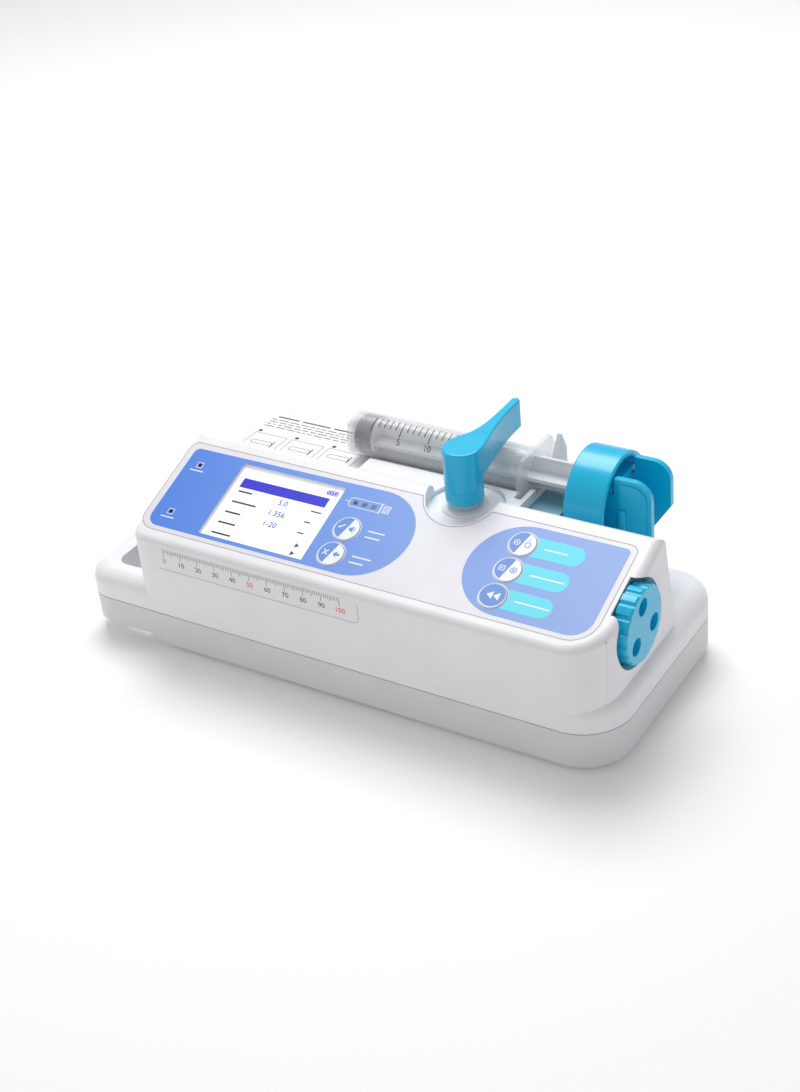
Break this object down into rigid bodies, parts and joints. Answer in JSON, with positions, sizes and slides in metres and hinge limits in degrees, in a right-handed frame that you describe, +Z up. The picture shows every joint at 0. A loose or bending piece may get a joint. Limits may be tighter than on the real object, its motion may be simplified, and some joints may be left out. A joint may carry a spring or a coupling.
{
  "type": "syringe infusion pump",
  "caption": "Bench-top syringe infusion pump with sloped keypad, screw-driven pusher, swing-over syringe clamp, jog wheel and a loaded syringe.",
  "frame": {"origin": "on the floor under the middle of the base", "axes": "+X along the body towards the pusher end, -Y is the front with the sloped panel, +Z up"},
  "size_m": [0.289, 0.121, 0.1126],
  "materials": {
    "housing_white": "fine textured",
    "housing_lower": "fine textured",
    "overlay_film": "printed film, satin",
    "clear_window": "clear",
    "screen_white": "backlit",
    "key_plastic": "satin",
    "light_black": "clear over black",
    "circuit_board": "solder mask",
    "black_plastic": "moulded",
    "steel": "ground",
    "brass_insert": "knurled",
    "bronze": "sintered",
    "alloy": "machined",
    "foot_rubber": "soft",
    "blue_plastic": "semi-gloss",
    "teal_plastic": "satin",
    "label_paper": "printed label",
    "clear_plastic": "clear",
    "stopper_rubber": "soft",
    "plunger_plastic": "translucent white",
    "post_grey": "smooth",
    "battery_wrap": "shrink wrapped"
  },
  "bodies": {
    "casing": {"battery_cover": "housing_lower", "battery_light": "light_black", "battery_pack": "battery_wrap", "board_standoffs": "brass_insert", "buzzer": "black_plastic", "clamp_bush": "housing_white", "clamp_spring": "steel", "data_port": "black_plastic", "display_module": "screen_white", "display_window": "clear_window", "drive_frame": "alloy", "front_overlay": "overlay_film", "guide_rods": "steel", "housing_screws": "steel", "instruction_label": "label_paper", "jog_encoder": "black_plastic", "key_switches": "black_plastic", "lower_housing": "housing_lower", "main_board": "circuit_board", "mains_inlet": "black_plastic", "mains_light": "light_black", "mount_inserts": "brass_insert", "power_board": "circuit_board", "rubber_feet": "foot_rubber", "ruler_strip": "label_paper", "screw_bearings": "steel", "size_sensor": "circuit_board", "slide_guide": "teal_plastic", "stepper_motor": "black_plastic", "syringe_barrel": "clear_plastic", "syringe_lights": "light_black", "upper_housing": "housing_white"},
    "carriage": {"carriage_block": "alloy", "carriage_bushes": "bronze", "slide_plate": "teal_plastic", "pusher_body": "blue_plastic", "pusher_hood": "blue_plastic", "lever_pins": "steel", "syringe_plunger": "plunger_plastic", "syringe_stopper": "stopper_rubber"},
    "front_lever": {"lever_front": "blue_plastic"},
    "rear_lever": {"lever_rear": "blue_plastic"},
    "nut": {"half_nut": "bronze"},
    "screw": {"lead_screw": "steel", "screw_gear": "bronze"},
    "pinion": {"motor_pinion": "bronze"},
    "clamp_lifter": {"clamp_collar": "black_plastic"},
    "clamp": {"clamp_arm": "blue_plastic", "clamp_shaft": "post_grey"},
    "jog": {"jog_wheel": "blue_plastic"},
    "enter_key_cap": {"enter_key": "key_plastic"},
    "cancel_key_cap": {"cancel_key": "key_plastic"},
    "power_key_cap": {"power_key": "key_plastic"},
    "start_key_cap": {"start_key": "key_plastic"},
    "bolus_key_cap": {"bolus_key": "key_plastic"}
  },
  "joints": [
    {"name": "carriage_slide", "type": "slide", "parent": "casing", "child": "carriage", "axis": [1, 0, 0], "range_m": [-0.001, 0.066]},
    {"name": "front_lever_pivot", "type": "hinge", "parent": "carriage", "child": "front_lever", "pos_m": [0.103, 0.0275, 0.08], "axis": [0, 0, 1], "range_deg": [0, 10]},
    {"name": "rear_lever_pivot", "type": "hinge", "parent": "carriage", "child": "rear_lever", "pos_m": [0.103, 0.0435, 0.08], "axis": [0, 0, 1], "range_deg": [-10, 0]},
    {"name": "half_nut_release", "type": "slide", "parent": "carriage", "child": "nut", "axis": [0, 0, -1], "range_m": [0, 0.0025], "stiffness_N_per_m": 600, "springref_m": -0.003},
    {"name": "screw_turn", "type": "hinge", "parent": "casing", "child": "screw", "pos_m": [-0.0885, 0.0355, 0.048], "axis": [1, 0, 0], "range_deg": [-130, 7930]},
    {"name": "pinion_turn", "type": "hinge", "parent": "casing", "child": "pinion", "pos_m": [-0.0885, 0.0355, 0.0224], "axis": [1, 0, 0], "range_deg": [-23800, 400]},
    {"name": "clamp_lift", "type": "slide", "parent": "casing", "child": "clamp_lifter", "axis": [0, 0, 1], "range_m": [0, 0.014], "stiffness_N_per_m": 300, "springref_m": -0.01, "deforming": ["clamp_spring"]},
    {"name": "clamp_swing", "type": "hinge", "parent": "clamp_lifter", "child": "clamp", "pos_m": [0.0425, 0.0035, 0.1], "axis": [0, 0, 1], "range_deg": [0, 90]},
    {"name": "jog_turn", "type": "hinge", "parent": "casing", "child": "jog", "pos_m": [0.1385, -0.0225, 0.0605], "axis": [1, 0, 0], "continuous": true},
    {"name": "enter_key_press", "type": "slide", "parent": "casing", "child": "enter_key_cap", "axis": [0, 0.342, -0.9397], "range_m": [0, 0.0005], "stiffness_N_per_m": 800, "springref_m": -0.0005},
    {"name": "cancel_key_press", "type": "slide", "parent": "casing", "child": "cancel_key_cap", "axis": [0, 0.342, -0.9397], "range_m": [0, 0.0005], "stiffness_N_per_m": 800, "springref_m": -0.0005},
    {"name": "power_key_press", "type": "slide", "parent": "casing", "child": "power_key_cap", "axis": [0, 0.342, -0.9397], "range_m": [0, 0.0005], "stiffness_N_per_m": 800, "springref_m": -0.0005},
    {"name": "start_key_press", "type": "slide", "parent": "casing", "child": "start_key_cap", "axis": [0, 0.342, -0.9397], "range_m": [0, 0.0005], "stiffness_N_per_m": 800, "springref_m": -0.0005},
    {"name": "bolus_key_press", "type": "slide", "parent": "casing", "child": "bolus_key_cap", "axis": [0, 0.342, -0.9397], "range_m": [0, 0.0005], "stiffness_N_per_m": 800, "springref_m": -0.0005}
  ],
  "couplings": [
    {"joint": "front_lever_pivot", "follows": "half_nut_release", "rad_per_m": 69.8},
    {"joint": "rear_lever_pivot", "follows": "half_nut_release", "rad_per_m": -69.8},
    {"joint": "screw_turn", "follows": "carriage_slide", "rad_per_m": 2094.4},
    {"joint": "pinion_turn", "follows": "carriage_slide", "rad_per_m": -6283.2}
  ]
}
